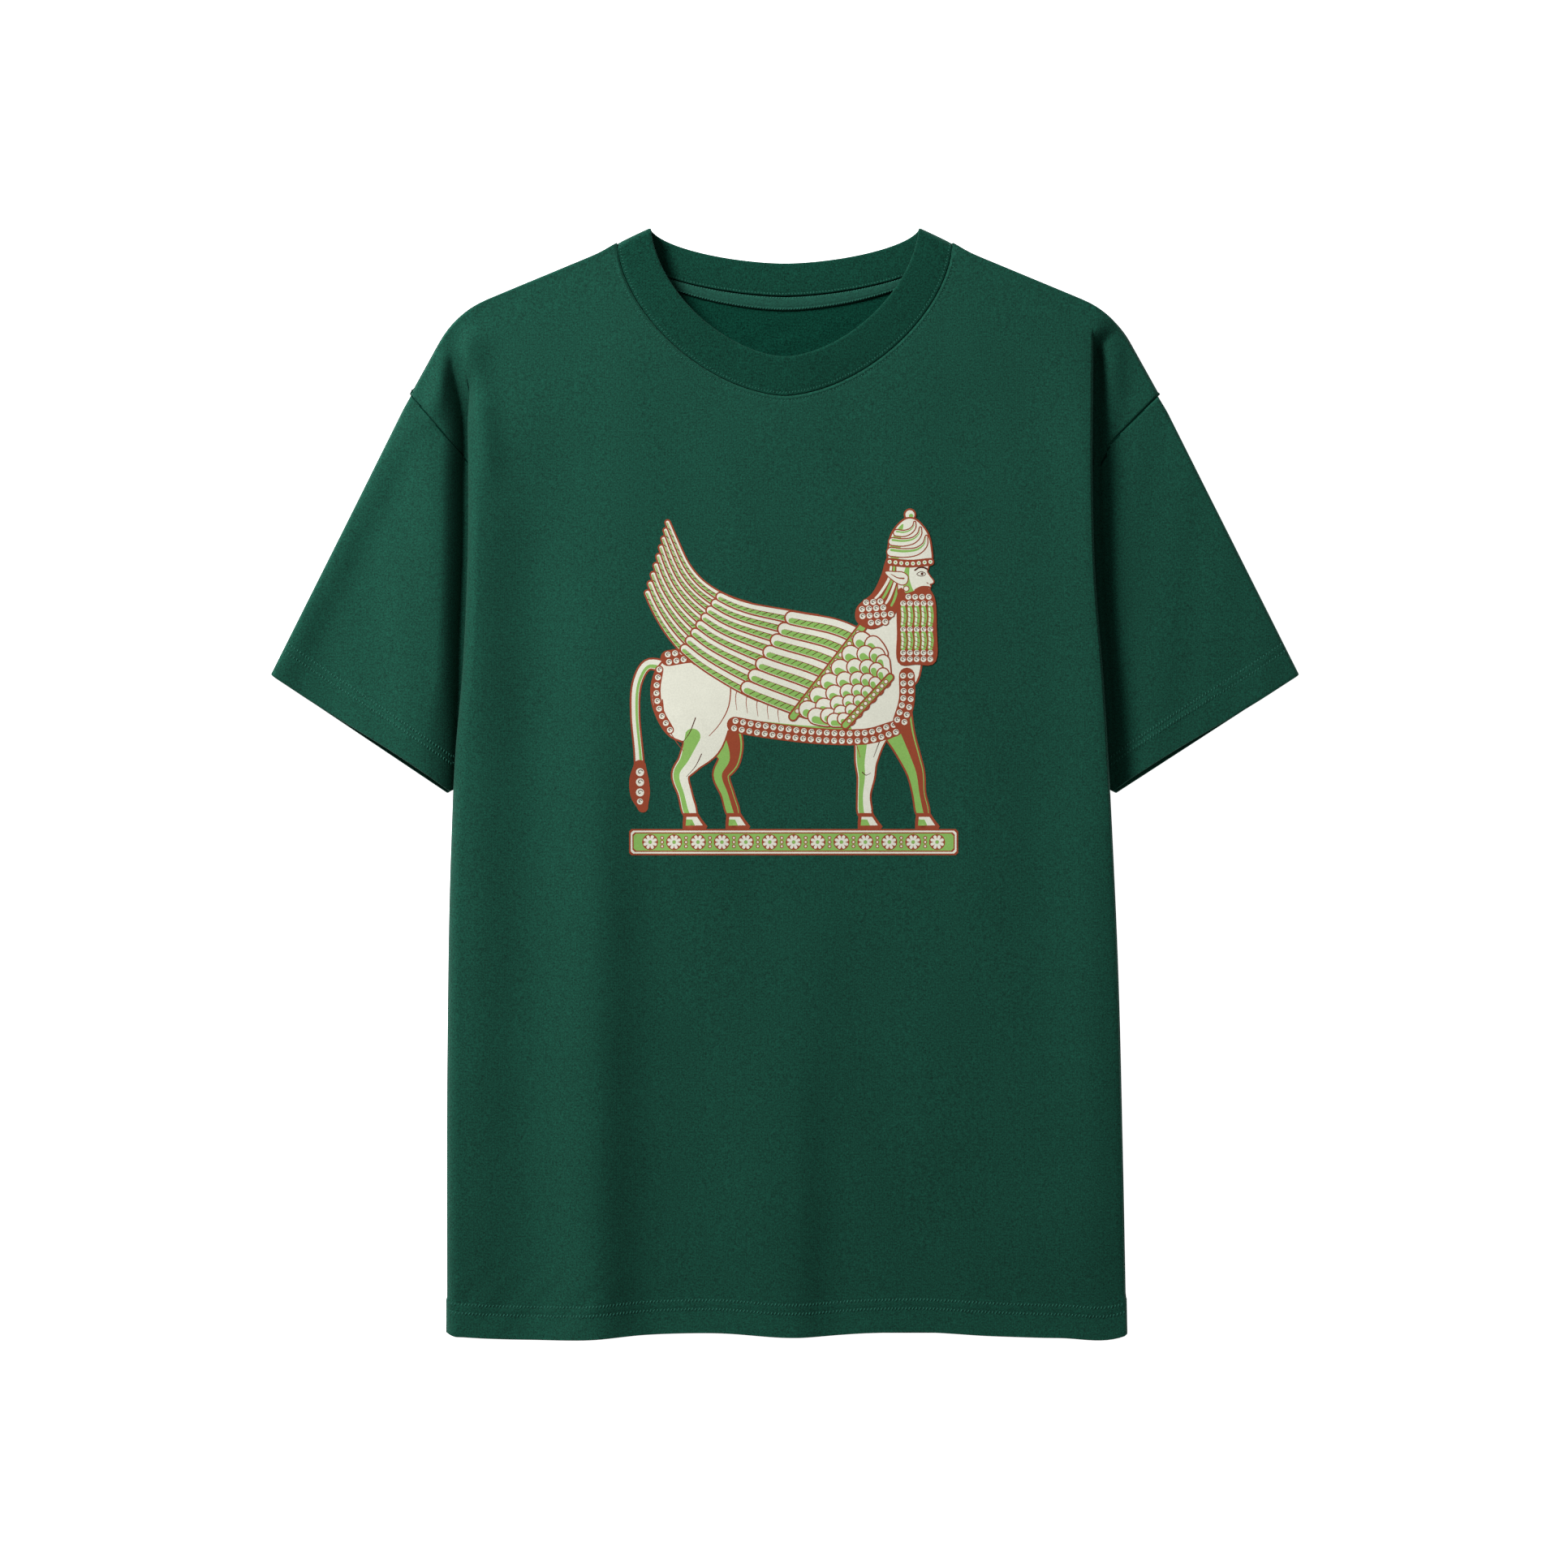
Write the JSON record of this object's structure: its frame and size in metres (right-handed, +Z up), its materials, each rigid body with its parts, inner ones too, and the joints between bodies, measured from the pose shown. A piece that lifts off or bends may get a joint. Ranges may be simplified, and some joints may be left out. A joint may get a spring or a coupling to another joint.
{
  "type": "printed t-shirt",
  "caption": "Dark green crew-neck cotton T-shirt lying flat, with a large print of a winged bull guardian on the chest.",
  "frame": {"origin": "on the surface that the shirt lies on, under the middle of its outline", "axes": "+Z up through the front, +Y from the hem to the collar, +X to the right as seen from above; left and right in the names are as seen from above"},
  "size_m": [0.6978, 0.7528, 0.0217],
  "materials": {
    "jersey": "matt knitted cotton",
    "rib": "matt ribbed cotton",
    "tape": "matt woven tape",
    "thread": "matt sewing thread",
    "print": "soft matt ink"
  },
  "bodies": {
    "root": {"front": "jersey", "back": "jersey", "sleeve_left": "jersey", "sleeve_right": "jersey", "collar": "rib", "neck_tape": "tape"}
  },
  "joints": []
}
